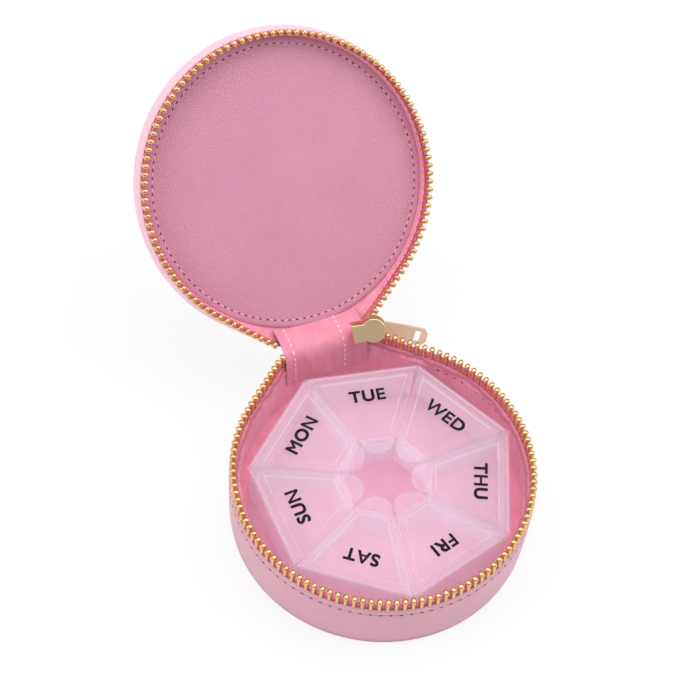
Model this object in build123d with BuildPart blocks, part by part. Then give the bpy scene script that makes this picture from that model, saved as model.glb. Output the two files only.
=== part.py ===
from build123d import *
import math
import os

# Round zip-around pill case, standing open: the base rests on Z = 0, the hinge is at +Y,
# and the lid leans back behind it. Millimetres and degrees.

# Case outline and heights
row_radius = 46.0
rim_bulge = 2.8
rim_half_width = 9.65
corner_radius = 12.0
parting_height = 27.0
base_straight_depth = 5.8
base_draft = 0.3
lid_height = 11.4
lid_straight_depth = 5.4

# Hinge of the case
hinge_bend_radius = 0.5
open_angle = 133.0
strip_corner_gap = 1.8

# Layers of the case, from the outside in
leather_thick = 0.65
core_thick = 0.6
lining_thick = 0.6
layer_gap = 0.05
leather_edge_drop = 5.8
lining_edge_drop = 5.4
wall_board_top = 15.6
outer_panel_thick = 0.8
board_thick = 1.2
foam_thick = 1.65
inner_panel_thick = 0.8
panel_edge_radius = 0.5

# Zip rows
tooth_spacing = 2.5
tooth_height = 3.2
tooth_depth = 2.0
tooth_thick = 1.2
tooth_chamfer = 0.45
tooth_tip_gap = 0.75
tape_grip = 1.0
grip_clearance = 0.06
row_end_gap = 3.0
slider_park_room = 2.4

# Sewn ends of the zip, which fold a share of the way with the lid
zip_fold_setback = 1.8
zip_fold_rise = 1.2
fold_share = 0.33617
zip_end_length = 6.8
zip_tab_gap = 0.2
end_tape_drop = 6.2
stop_length = 1.5
stop_depth = 2.4
stop_height = 4.2
stop_setback = 0.4
top_stop_gap = 0.9

# Zip slider
slider_setback = 4.0
slider_axis_share = 0.96
channel_half = 2.5
plate_thick = 0.8
plate_edge_chamfer = 0.2
nose_radius = 3.9
nose_shift = 1.7
tail_end = 5.1
tail_half_height = 3.0
neck_half_height = 2.5
post_shift = 3.2
post_length = 2.4
post_half_height = 0.6

# Bridge on the slider, and the pull tab that hangs on it
bridge_inner = 1.5
bridge_leg = 0.9
bridge_half_width = 0.7
bridge_clear_height = 2.3
bridge_top_thick = 0.8
pivot_rise = 1.25
pull_bar_radius = 0.6
pull_yaw = 29.0
pull_swing = 22.0
pull_thick = 1.1
pull_length = 21.5
pull_half_width = 2.9
eye_half_width = 2.7
eye_hole_half_width = 1.9
eye_hole_length = 4.4
eye_shoulder = 1.6
pull_end_chamfer = 1.5
pull_slot_length = 2.4
pull_slot_half_width = 1.7
pull_slot_inset = 2.2

# Pill tray
day_count = 7
first_day_azimuth = 131.0
tray_shift_x = 1.3
tray_shift_y = 0.4
tray_height = 15.0
tray_seat_gap = 0.05
tray_margin = 4.05
tray_wall = 1.2
tray_floor = 1.2
divider_thick = 1.2
hole_apothem = 13.2
hole_wall = 1.1
pocket_corner_radius = 1.5
flange_reach = 0.7
flange_wall = 0.42
flange_depth = 1.7

# Day lids
lid_nose_radius = 0.7
lid_nose_gap = 0.08
lid_rest_gap = 0.05
lid_side_gap = 0.7
lid_border = 2.1
lid_recess = 0.55
lid_recess_taper = 40.0
tab_half_width = 5.4
tab_depth = 5.2
catch_gap = 0.25
catch_thick = 0.6
catch_half_width = 3.0
catch_drop = 1.5

# Insets of the layers from the zip row
core_face = core_thick / 2
leather_inner = -core_face - layer_gap
leather_outer = leather_inner - leather_thick
lining_outer = core_face + layer_gap
lining_inner = lining_outer + lining_thick

# Reaches behind the middle of the case, and the half width of the hinge strips
rim_reach = row_radius + rim_bulge
hinge_reach = rim_reach - leather_outer + hinge_bend_radius
zip_fold_reach = hinge_reach - zip_fold_setback
strip_half_width = rim_half_width - strip_corner_gap

os.makedirs("parts", exist_ok=True)


def polar(radius, angle, center_x=0, center_y=0):
    """Point at a radius and an angle in degrees from a centre."""
    turn = math.radians(angle)
    return (center_x + radius * math.cos(turn), center_y + radius * math.sin(turn))


def save(piece, name):
    """Label a finished piece and write it under its own name."""
    piece.part.label = name
    export_step(piece.part, f"parts/{name}.step")


# Rim outline: a circle drawn out to a straight stretch at the hinge, by two tangent lines
# and two rounded corners. Row distances run from the front middle, positive to the right.
corner_y = rim_reach - corner_radius
corner_distance = math.hypot(rim_half_width, corner_y)
corner_azimuth = math.degrees(math.atan2(corner_y, rim_half_width))
tangent_angle = corner_azimuth - math.degrees(math.acos((row_radius - corner_radius) / corner_distance))
corner_start = polar(corner_radius, tangent_angle, rim_half_width, corner_y)
arc_length = row_radius * math.radians(90 + tangent_angle)
straight_length = math.sqrt(corner_distance**2 - (row_radius - corner_radius) ** 2)
corner_length = corner_radius * math.radians(90 - tangent_angle)
row_half_length = arc_length + straight_length + corner_length


def row_place(distance):
    """Place on the rim at a distance along the row, local X pointing out of the case."""
    run = abs(distance)
    if run <= arc_length:
        angle = math.degrees(run / row_radius) - 90
        x, y = polar(row_radius, angle)
    elif run <= arc_length + straight_length:
        angle = tangent_angle
        start_x, start_y = polar(row_radius, angle)
        share = (run - arc_length) / straight_length
        x = start_x + (corner_start[0] - start_x) * share
        y = start_y + (corner_start[1] - start_y) * share
    else:
        angle = tangent_angle + math.degrees((run - arc_length - straight_length) / corner_radius)
        x, y = polar(corner_radius, angle, rim_half_width, corner_y)
    if distance < 0:
        return Location((-x, y, 0), (0, 0, 180 - angle))
    return Location((x, y, 0), (0, 0, angle))


def rim_sketch(plane, inset):
    """Rim outline, moved inwards by an inset."""
    radius = row_radius - inset
    corner = corner_radius - inset
    back = corner_y + corner
    with BuildSketch(plane) as outline:
        with BuildLine():
            CenterArc((0, 0), radius, -90, 90 + tangent_angle)
            Line(polar(radius, tangent_angle), polar(corner, tangent_angle, rim_half_width, corner_y))
            CenterArc((rim_half_width, corner_y), corner, tangent_angle, 90 - tangent_angle)
            Line((rim_half_width, back), (-rim_half_width, back))
            CenterArc((-rim_half_width, corner_y), corner, 90, 90 - tangent_angle)
            Line(
                polar(corner, 180 - tangent_angle, -rim_half_width, corner_y),
                polar(radius, 180 - tangent_angle),
            )
            CenterArc((0, 0), radius, 180 - tangent_angle, 90 + tangent_angle)
        make_face()
    return outline.sketch


def foot_sketch(plane, radius):
    """Full circle, divided where the rim outline above it is divided."""
    corner_turn = math.degrees(math.atan2(corner_start[1], corner_start[0]))
    hinge_turn = math.degrees(math.atan2(rim_reach, rim_half_width))
    right_turns = [-90, tangent_angle, corner_turn, hinge_turn]
    turns = right_turns + [180 - turn for turn in reversed(right_turns)]
    with BuildSketch(plane) as outline:
        with BuildLine():
            for start, end in zip(turns, turns[1:]):
                CenterArc((0, 0), radius, start, end - start)
        make_face()
    return outline.sketch


def folded_plane(angle, axis_reach, axis_height):
    """Parting plane of the closed case, turned open about an axis along X."""
    turn = math.radians(angle)
    rise = parting_height - axis_height
    back = axis_reach - axis_reach * math.cos(turn) + rise * math.sin(turn)
    height = axis_height + axis_reach * math.sin(turn) + rise * math.cos(turn)
    return Plane((0, back, height), x_dir=(1, 0, 0), z_dir=(0, math.sin(turn), math.cos(turn)))


class CaseHalf:
    """One half of the case: its parting plane, facing out of the half, and its depths."""

    def __init__(self, name, rim, straight_depth, depth, foot_radius, phase):
        self.name = name
        self.rim = rim
        self.straight_depth = straight_depth
        self.depth = depth
        self.foot_radius = foot_radius
        self.foot = rim.offset(-depth)
        self.phase = phase

    def block(self, inset, mode=Mode.ADD):
        """Solid filling of the half, out to an inset."""
        sections = [
            rim_sketch(self.rim, inset),
            rim_sketch(self.rim.offset(-self.straight_depth), inset),
            foot_sketch(self.foot, self.foot_radius - inset),
        ]
        loft(sections, ruled=True, mode=mode)

    def wall_layer(self, outer_inset, inner_inset, top_drop, low_level):
        """Wall between two insets, from a level above the foot up to a drop below the rim."""
        self.block(outer_inset)
        self.block(inner_inset, mode=Mode.SUBTRACT)
        split(bisect_by=self.rim.offset(-top_drop), keep=Keep.BOTTOM)
        split(bisect_by=self.foot.offset(low_level), keep=Keep.TOP)


base_rim = folded_plane(0, hinge_reach, parting_height)
open_lid = folded_plane(open_angle, hinge_reach, parting_height)
lid_rim = Plane(open_lid.origin, x_dir=(-1, 0, 0), z_dir=-open_lid.z_dir)
zip_fold_height = parting_height + zip_fold_rise
zip_plane = folded_plane(open_angle * fold_share, zip_fold_reach, zip_fold_height)

half_share = 0.5
base = CaseHalf(
    "base", base_rim, base_straight_depth, parting_height, row_radius - base_draft, half_share
)
lid = CaseHalf("lid", lid_rim, lid_straight_depth, lid_height, row_radius, 0)

# Levels of the panel stack above the foot
board_low = outer_panel_thick + layer_gap
foam_low = board_low + board_thick + layer_gap
inner_panel_low = foam_low + foam_thick + layer_gap
floor_level = inner_panel_low + inner_panel_thick
tape_top_drop = tooth_tip_gap + tooth_height - tape_grip


def panel(half, low, thick, radius, edge_side=None):
    """Round panel of a case half, with one edge rounded where it shows."""
    with BuildPart() as disc:
        with BuildSketch(half.foot.offset(low)):
            Circle(radius)
        extrude(amount=thick)
        if edge_side is not None:
            axis = Axis(half.foot.origin, half.foot.z_dir)
            fillet(disc.edges().sort_by(axis)[edge_side], panel_edge_radius)
    return disc


def zip_tooth():
    """One tooth: a bar whose two legs grip the tape, tip up, at the parting plane."""
    half_depth = tooth_depth / 2
    slot = core_thick / 2 + grip_clearance
    tip = -tooth_tip_gap
    low = tip - tooth_height
    tooth_plane = Plane.XZ.offset(-tooth_thick / 2)
    with BuildPart() as tooth:
        with BuildSketch(tooth_plane):
            with BuildLine():
                Polyline(
                    (slot, low),
                    (half_depth, low),
                    (half_depth, tip - tooth_chamfer),
                    (half_depth - tooth_chamfer, tip),
                    (tooth_chamfer - half_depth, tip),
                    (-half_depth, tip - tooth_chamfer),
                    (-half_depth, low),
                    (-slot, low),
                    (-slot, low + tape_grip + grip_clearance),
                    (slot, low + tape_grip + grip_clearance),
                    close=True,
                )
            make_face()
        extrude(amount=tooth_thick)
    return tooth


tooth = zip_tooth()
row_limit = arc_length + straight_length - row_end_gap
row_end = row_place(row_limit).position


def row_distances(phase, low, high):
    """Tooth distances along one side of a row, from the front middle."""
    first = math.ceil(low / tooth_spacing - phase)
    last = math.floor(high / tooth_spacing - phase)
    return [(count + phase) * tooth_spacing for count in range(first, last + 1)]


# Both halves of the case: panels, walls, tape and teeth
for half in (base, lid):
    inner_radius = half.foot_radius + core_face
    outer_panel = panel(half, 0, outer_panel_thick, half.foot_radius - leather_outer, 0)
    save(outer_panel, f"{half.name}_outer_panel")
    board = panel(half, board_low, board_thick, inner_radius)
    save(board, f"{half.name}_board")
    foam = panel(half, foam_low, foam_thick, inner_radius)
    save(foam, f"{half.name}_foam")
    inner_panel = panel(half, inner_panel_low, inner_panel_thick, inner_radius, -1)
    save(inner_panel, f"{half.name}_inner_panel")

    with BuildPart() as side_wall:
        half.wall_layer(leather_outer, leather_inner, leather_edge_drop, board_low)
    save(side_wall, f"{half.name}_side_wall")

    with BuildPart() as wall_lining:
        half.wall_layer(lining_outer, lining_inner, lining_edge_drop, floor_level + layer_gap)
    save(wall_lining, f"{half.name}_wall_lining")

    tape_low = floor_level + layer_gap
    if half is base:
        tape_low = wall_board_top + layer_gap
    with BuildPart() as zip_tape:
        half.wall_layer(-core_face, core_face, tape_top_drop, tape_low)
        with BuildSketch(half.rim.offset(-half.depth)):
            with Locations((0, rim_reach)):
                Rectangle(2 * row_end.X, 2 * (rim_reach - row_end.Y))
        extrude(amount=half.depth, mode=Mode.SUBTRACT)
    save(zip_tape, f"{half.name}_zip_tape")

    # When the case is shut the slider parks at the left end, which is the lid's positive side
    left_limit = row_limit - slider_park_room
    distances = row_distances(half.phase, -left_limit, row_limit)
    if half is lid:
        distances = row_distances(half.phase, -row_limit, left_limit)
    with BuildPart() as zip_teeth:
        with Locations(*[half.rim.location * row_place(distance) for distance in distances]):
            add(tooth.part)
    save(zip_teeth, f"{half.name}_zip_teeth")

# Stiff board in the wall of the base
with BuildPart() as base_wall_board:
    base.wall_layer(-core_face, core_face, parting_height - wall_board_top, floor_level + layer_gap)
save(base_wall_board, "base_wall_board")


# Hinge strips: two legs in the wall layers, joined by a bend around the hinge axis
def hinge_strip(outer_inset, inner_inset, edge_drop):
    """Strip that runs from the base's edge around the hinge axis to the lid's edge."""
    near = hinge_reach - rim_reach + outer_inset
    far = hinge_reach - rim_reach + inner_inset
    leg = edge_drop - layer_gap
    lid_side = 180 - open_angle
    along_lid = polar(leg, -open_angle + 90)
    base_plane = Plane((0, hinge_reach, parting_height), x_dir=(0, 1, 0), z_dir=(1, 0, 0))
    near_end = polar(near, lid_side)
    far_end = polar(far, lid_side)
    with BuildPart() as strip:
        with BuildSketch(base_plane):
            with BuildLine():
                CenterArc((0, 0), near, lid_side, open_angle)
                Polyline((-near, 0), (-near, -leg), (-far, -leg), (-far, 0))
                CenterArc((0, 0), far, lid_side, open_angle)
                Polyline(
                    far_end,
                    (far_end[0] + along_lid[0], far_end[1] + along_lid[1]),
                    (near_end[0] + along_lid[0], near_end[1] + along_lid[1]),
                    near_end,
                )
            make_face()
        extrude(amount=strip_half_width, both=True)
    return strip


hinge_cover = hinge_strip(leather_outer, leather_inner, leather_edge_drop)
save(hinge_cover, "hinge_cover")
hinge_lining = hinge_strip(lining_outer, lining_inner, lining_edge_drop)
save(hinge_lining, "hinge_lining")

# Sewn ends of the zip beside the hinge
end_start = row_half_length - zip_end_length
end_turn = tangent_angle + math.degrees((end_start - arc_length - straight_length) / corner_radius)
tab_start = strip_half_width + zip_tab_gap
corner_center = (rim_half_width, corner_y)
corner_side = rim_half_width + corner_radius
with BuildPart() as zip_end_tapes:
    with BuildSketch(zip_plane.offset(-end_tape_drop)):
        with BuildLine():
            right_outer = CenterArc(corner_center, corner_radius + core_face, end_turn, 90 - end_turn)
            Line(right_outer @ 1, (tab_start, rim_reach + core_face))
            Line((tab_start, rim_reach + core_face), (tab_start, rim_reach - core_face))
            Line((tab_start, rim_reach - core_face), (rim_half_width, rim_reach - core_face))
            right_inner = CenterArc(corner_center, corner_radius - core_face, end_turn, 90 - end_turn)
            Line(right_inner @ 0, right_outer @ 0)
        make_face()
        mirror(about=Plane.YZ)
    extrude(amount=2 * end_tape_drop)
    with BuildSketch(zip_plane.offset(-tape_top_drop)):
        with Locations((-corner_side, corner_y), (corner_side, corner_y)):
            Rectangle(2 * corner_radius, 2 * corner_radius + 2 * tooth_depth)
    extrude(amount=2 * tape_top_drop, mode=Mode.SUBTRACT)
save(zip_end_tapes, "zip_end_tapes")

end_limit = row_half_length - stop_setback - stop_length - tooth_thick / 2
zip_plane_facing = Plane(zip_plane.origin, x_dir=-zip_plane.x_dir, z_dir=-zip_plane.z_dir)
end_places = []
for phase, plane in ((base.phase, zip_plane), (lid.phase, zip_plane_facing)):
    for distance in row_distances(phase, end_start, end_limit):
        end_places.append(plane.location * row_place(distance))
        end_places.append(plane.location * row_place(-distance))
with BuildPart() as zip_end_teeth:
    with Locations(*end_places):
        add(tooth.part)
save(zip_end_teeth, "zip_end_teeth")

stop_distance = row_half_length - stop_setback - stop_length / 2
stop_slot = core_thick + 2 * grip_clearance
slot_low = tape_top_drop - grip_clearance
slot_height = stop_height - slot_low


def stop_clamp(distance, middle_gap):
    """Bar across both rows, open at its ends for the tapes and parted by a gap in the middle."""
    place = zip_plane.location * row_place(distance)
    with BuildPart() as clamp:
        with Locations(place):
            Box(stop_depth, stop_length, 2 * stop_height)
            if middle_gap > 0:
                Box(2 * stop_depth, 2 * stop_length, 2 * middle_gap, mode=Mode.SUBTRACT)
        with Locations(*[place * Location((0, 0, side * (slot_low + slot_height))) for side in (-1, 1)]):
            Box(stop_slot, 2 * stop_length, 2 * slot_height, mode=Mode.SUBTRACT)
    return clamp


zip_bottom_stop = stop_clamp(stop_distance, 0)
save(zip_bottom_stop, "zip_bottom_stop")
zip_top_stops = stop_clamp(-stop_distance, top_stop_gap)
save(zip_top_stops, "zip_top_stops")

# Zip slider: it travels on a circle about an axis square to the rows
slider_axis_y = (rim_reach - row_radius) * slider_axis_share
slider_spot = row_place(row_half_length - slider_setback).position
slider_turn = math.degrees(math.atan2(slider_spot.Y - slider_axis_y, slider_spot.X))
out_x, out_y = polar(1, slider_turn)
slider_out = zip_plane.x_dir * out_x + zip_plane.y_dir * out_y
slider_nose = zip_plane.x_dir * out_y - zip_plane.y_dir * out_x
slider_origin = zip_plane.from_local_coords(Vector(slider_spot.X, slider_spot.Y, 0))
slider_plane = Plane(slider_origin, x_dir=slider_nose, z_dir=slider_out)


def slider_plate(plane):
    """Outline of one plate: a round nose and a flared tail."""
    with BuildSketch(plane) as outline:
        with Locations((nose_shift, 0)):
            Circle(nose_radius)
        with BuildLine():
            Polyline(
                (nose_shift, neck_half_height),
                (-tail_end, tail_half_height),
                (-tail_end, -tail_half_height),
                (nose_shift, -neck_half_height),
                close=True,
            )
        make_face()
    return outline.sketch


with BuildPart() as slider_body:
    extrude(slider_plate(slider_plane.offset(channel_half)), amount=plate_thick)
    extrude(slider_plate(slider_plane.offset(-channel_half)), amount=-plate_thick)
    out_axis = Axis(slider_origin, slider_out)
    plate_faces = slider_body.faces().filter_by(out_axis).sort_by(out_axis)
    chamfer(plate_faces[0].edges() + plate_faces[-1].edges(), plate_edge_chamfer)
    with BuildSketch(slider_plane.offset(-channel_half - plate_thick / 2)):
        with BuildLine():
            Polyline(
                (post_shift - post_length / 2, 0),
                (post_shift, post_half_height),
                (post_shift + post_length / 2, 0),
                (post_shift, -post_half_height),
                close=True,
            )
        make_face()
    extrude(amount=2 * channel_half + plate_thick)
save(slider_body, "slider_body")

# Bridge over the outer plate
plate_face = channel_half + plate_thick
bridge_plane = Plane(slider_origin, x_dir=slider_nose, z_dir=slider_nose.cross(slider_out))
bridge_outer = bridge_inner + bridge_leg
bridge_top = plate_face + bridge_clear_height + bridge_top_thick
with BuildPart() as slider_bridge:
    with BuildSketch(bridge_plane):
        with BuildLine():
            Polyline(
                (-bridge_inner, plate_face),
                (-bridge_outer, plate_face),
                (-bridge_outer, bridge_top - bridge_leg),
                (-bridge_outer + bridge_leg, bridge_top),
                (bridge_outer - bridge_leg, bridge_top),
                (bridge_outer, bridge_top - bridge_leg),
                (bridge_outer, plate_face),
                (bridge_inner, plate_face),
                (bridge_inner, plate_face + bridge_clear_height),
                (-bridge_inner, plate_face + bridge_clear_height),
                close=True,
            )
        make_face()
    extrude(amount=bridge_half_width, both=True)
save(slider_bridge, "slider_bridge")

# Pull tab: an eye around the bridge, a round bar under it, and a plate with a slot
pull_pivot = slider_origin + slider_out * (plate_face + pivot_rise)
along, droop = polar(1, pull_yaw)
pull_flat = slider_nose * along - zip_plane.z_dir * droop
lie, lift = polar(1, pull_swing)
pull_along = pull_flat * lie + slider_out * lift
pull_face = slider_out * lie - pull_flat * lift
pull_plane = Plane(pull_pivot, x_dir=pull_along, z_dir=pull_face)
pull_shoulder = pull_bar_radius + eye_hole_length + eye_shoulder
slot_far = pull_length - pull_slot_inset
with BuildPart() as pull_tab:
    with BuildSketch(pull_plane.offset(-pull_thick / 2)):
        with BuildLine():
            Polyline(
                (0, eye_half_width),
                (pull_shoulder - eye_shoulder, eye_half_width),
                (pull_shoulder, pull_half_width),
                (pull_length - pull_end_chamfer, pull_half_width),
                (pull_length, pull_half_width - pull_end_chamfer),
                (pull_length, pull_end_chamfer - pull_half_width),
                (pull_length - pull_end_chamfer, -pull_half_width),
                (pull_shoulder, -pull_half_width),
                (pull_shoulder - eye_shoulder, -eye_half_width),
                (0, -eye_half_width),
                close=True,
            )
        make_face()
        with Locations((eye_hole_length / 2, 0)):
            Rectangle(eye_hole_length + 2 * pull_bar_radius, 2 * eye_hole_half_width, mode=Mode.SUBTRACT)
        with Locations((slot_far - pull_slot_length / 2, 0)):
            Rectangle(pull_slot_length, 2 * pull_slot_half_width, mode=Mode.SUBTRACT)
    extrude(amount=pull_thick)
    bar_plane = Plane(pull_plane.origin, x_dir=pull_plane.x_dir, z_dir=pull_plane.y_dir)
    with BuildSketch(bar_plane.offset(-eye_half_width)):
        Circle(pull_bar_radius)
    extrude(amount=2 * eye_half_width)
save(pull_tab, "pull_tab")

# Pill tray: a seven-sided dish with one pocket a day around an open centre
day_step = 360 / day_count
half_step = day_step / 2
slope = math.tan(math.radians(half_step))
lean = 1 / math.cos(math.radians(half_step))
tray_apothem = (row_radius - tray_margin) / lean
flange_apothem = tray_apothem + flange_reach
tray_low = floor_level + tray_seat_gap
tray_center = (tray_shift_x, tray_shift_y, tray_low)
lid_thick = 2 * lid_nose_radius
tray_wall_top = tray_height - lid_thick - lid_rest_gap
hinge_level = tray_height - lid_nose_radius
hinge_apothem = flange_apothem - flange_wall - lid_nose_gap - lid_nose_radius


def day_plane(day):
    """Plane of a day's sector, local X pointing out through the middle of its lid."""
    x, y = polar(1, first_day_azimuth - day * day_step)
    return Plane(tray_center, x_dir=(x, y, 0), z_dir=(0, 0, 1))


def sector_points(near, far, side_gap):
    """Corners of a trapezoid that fills a sector between two apothems."""
    near_half = near * slope - side_gap * lean / 2
    far_half = far * slope - side_gap * lean / 2
    return (near, near_half), (far, far_half), (far, -far_half), (near, -near_half)


def heptagon(plane, apothem):
    """Regular outline whose sides face the days."""
    corner_turns = [half_step + day * day_step for day in range(day_count)]
    with BuildSketch(plane) as outline:
        with BuildLine():
            Polyline(*[polar(apothem * lean, turn) for turn in corner_turns], close=True)
        make_face()
    return outline.sketch


tray_plane = day_plane(0)
with BuildPart() as pill_tray:
    extrude(heptagon(tray_plane, tray_apothem), amount=tray_wall_top)
    extrude(heptagon(tray_plane.offset(hinge_level), flange_apothem), amount=-flange_depth)
    extrude(
        heptagon(tray_plane.offset(hinge_level), flange_apothem - flange_wall),
        amount=tray_wall_top - hinge_level,
        mode=Mode.SUBTRACT,
    )
    for day in range(day_count):
        with BuildSketch(day_plane(day).offset(tray_floor)) as pocket:
            with BuildLine():
                Polyline(
                    *sector_points(hole_apothem + hole_wall, tray_apothem - tray_wall, divider_thick),
                    close=True,
                )
            make_face()
            fillet(pocket.vertices(), pocket_corner_radius)
        extrude(amount=tray_height, mode=Mode.SUBTRACT)
    extrude(heptagon(tray_plane, hole_apothem), amount=tray_height, mode=Mode.SUBTRACT)
save(pill_tray, "pill_tray")

# Day lids: a bordered plate with a round hinge edge, a thumb tab and a catch
lid_low = hinge_level - lid_nose_radius
tab_start_point = (hole_apothem, tab_half_width)
tab_end_point = (hole_apothem, -tab_half_width)
recess_near = hole_apothem + lid_border
recess_far = hinge_apothem - lid_border
recess_side_gap = lid_side_gap + 2 * lid_border
for day in range(day_count):
    sector = day_plane(day)
    near, far, far_low, near_low = sector_points(hole_apothem, hinge_apothem, lid_side_gap)
    with BuildPart() as day_lid:
        with BuildSketch(sector.offset(lid_low)):
            with BuildLine():
                Polyline(tab_start_point, near, far, far_low, near_low, tab_end_point)
                ThreePointArc(tab_end_point, (hole_apothem - tab_depth, 0), tab_start_point)
            make_face()
        extrude(amount=lid_thick)
        nose_plane = Plane(
            sector.from_local_coords(Vector(hinge_apothem, far_low[1], hinge_level)),
            x_dir=sector.x_dir,
            z_dir=sector.y_dir,
        )
        with BuildSketch(nose_plane):
            Circle(lid_nose_radius)
        extrude(amount=far[1] - far_low[1])
        with BuildSketch(sector.offset(lid_low + lid_thick)):
            with BuildLine():
                Polyline(*sector_points(recess_near, recess_far, recess_side_gap), close=True)
            make_face()
        extrude(amount=-lid_recess, taper=lid_recess_taper, mode=Mode.SUBTRACT)
        catch_far = hole_apothem - catch_gap
        with BuildSketch(sector.offset(lid_low)):
            with Locations((catch_far - catch_thick / 2, 0)):
                Rectangle(catch_thick, 2 * catch_half_width)
        extrude(amount=-catch_drop)
    save(day_lid, f"day_lid_{day + 1}")
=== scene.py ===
import math

import bpy
from mathutils import Matrix, Vector, noise


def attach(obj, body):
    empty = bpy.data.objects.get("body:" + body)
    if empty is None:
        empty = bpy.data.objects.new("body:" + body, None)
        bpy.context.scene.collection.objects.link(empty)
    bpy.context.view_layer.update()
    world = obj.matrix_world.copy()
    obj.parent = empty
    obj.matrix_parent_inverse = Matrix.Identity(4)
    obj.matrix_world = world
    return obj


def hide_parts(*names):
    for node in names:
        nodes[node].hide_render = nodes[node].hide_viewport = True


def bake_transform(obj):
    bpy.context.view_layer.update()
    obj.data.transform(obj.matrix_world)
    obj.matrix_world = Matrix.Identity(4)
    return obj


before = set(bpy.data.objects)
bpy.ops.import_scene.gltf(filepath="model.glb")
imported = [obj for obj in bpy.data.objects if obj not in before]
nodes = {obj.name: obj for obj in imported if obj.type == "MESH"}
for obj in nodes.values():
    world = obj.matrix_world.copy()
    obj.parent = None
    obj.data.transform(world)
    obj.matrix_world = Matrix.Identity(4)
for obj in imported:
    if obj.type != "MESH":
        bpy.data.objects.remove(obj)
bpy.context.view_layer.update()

# The case is laid out in millimetres, closed, with the hinge at +Y; the lid is then turned open.
MM = 0.001

# Rim: radius of the row of teeth, reach to the hinge, half of the hinge's straight stretch, radius of
# the corners beside it, and the level at which the base and the lid part
ROW = 46.0
RIM = 48.8
FLAT = 9.65
CORNER = 12.0
PARTING = 27.0

# Base and lid: depth of the straight rim, whole depth, and radius of the round foot
BASE_STRAIGHT = 5.8
BASE_DEPTH = PARTING
BASE_FOOT = 45.7
LID_STRAIGHT = 5.4
LID_DEPTH = 11.4
LID_FOOT = 46.0
LID_GROW = 0.026

# Turns of the open lid and of the zip's sewn ends, each about its own axis
OPEN = math.radians(133.0)
HINGE_Y = 50.3
FOLD = math.radians(44.71)
FOLD_Y = 48.5
FOLD_Z = 28.2

# One unit of a cloth's own map in millimetres, and how close merged points lie in metres
UV_UNIT = 100.0
WELD = 1e-6

scene = bpy.context.scene

CORNER_Y = RIM - CORNER
REACH = math.hypot(FLAT, CORNER_Y)
TANGENT = math.atan2(CORNER_Y, FLAT) - math.acos((ROW - CORNER) / REACH)
ARC = ROW * (math.pi / 2 + TANGENT)
STRAIGHT = math.sqrt(REACH**2 - (ROW - CORNER) ** 2)
BEND = CORNER * (math.pi / 2 - TANGENT)
ROW_HALF = ARC + STRAIGHT + BEND
LOOP = 2 * (ROW_HALF + FLAT)
LEFT_END = LOOP - ROW_HALF
CORNER_TURN = math.atan2(CORNER_Y + CORNER * math.sin(TANGENT), FLAT + CORNER * math.cos(TANGENT))
HINGE_TURN = math.atan2(RIM, FLAT)


def mix(a, b, share):
    """Value a share of the way from a to b."""
    return a + (b - a) * share


def smooth(low, high, value):
    """Soft step from 0 to 1 between two values."""
    share = min(max((value - low) / (high - low), 0), 1)
    return share * share * (3 - 2 * share)


def bell(value, middle, width):
    """1 at the middle, falling softly to 0 on both sides."""
    return math.exp(-(((value - middle) / width) ** 2))


def ripple(*place):
    """Soft noise between -1 and 1."""
    return noise.noise(Vector(place))


def toward(turn):
    """Unit step on the plan, at a turn from +X."""
    return Vector((math.cos(turn), math.sin(turn)))


def rim_point(run, inset):
    """Point of the rim outline, the way it faces, and its turn on the round foot."""
    right = run <= LOOP / 2
    along = run if right else LOOP - run
    bend_middle = Vector((FLAT, CORNER_Y))
    if along <= ARC:
        face = along / ROW - math.pi / 2
        spot = toward(face) * (ROW - inset)
        foot = face
    elif along <= ARC + STRAIGHT:
        share = (along - ARC) / STRAIGHT
        face = TANGENT
        spot = (toward(face) * (ROW - inset)).lerp(bend_middle + toward(face) * (CORNER - inset), share)
        foot = mix(TANGENT, CORNER_TURN, share)
    elif along <= ROW_HALF:
        share = (along - ARC - STRAIGHT) / BEND
        face = TANGENT + (along - ARC - STRAIGHT) / CORNER
        spot = bend_middle + toward(face) * (CORNER - inset)
        foot = mix(CORNER_TURN, HINGE_TURN, share)
    else:
        share = (along - ROW_HALF) / FLAT
        face = math.pi / 2
        spot = Vector((FLAT * (1 - share), CORNER_Y + CORNER - inset))
        foot = mix(HINGE_TURN, math.pi / 2, share)
    if not right:
        spot.x = -spot.x
        face = math.pi - face
        foot = math.pi - foot
    return spot, face, foot


def turned_open(angle, axis_y, axis_z):
    """Turn of the lid or of the zip's ends about an axis along X, in millimetres."""
    axis = Vector((0, axis_y, axis_z))
    return Matrix.Translation(axis) @ Matrix.Rotation(-angle, 4, "X") @ Matrix.Translation(-axis)


LID_TURN = turned_open(OPEN, HINGE_Y, PARTING)
FOLD_TURN = turned_open(FOLD, FOLD_Y, FOLD_Z)
TO_METRES = Matrix.Scale(MM, 4)


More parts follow.
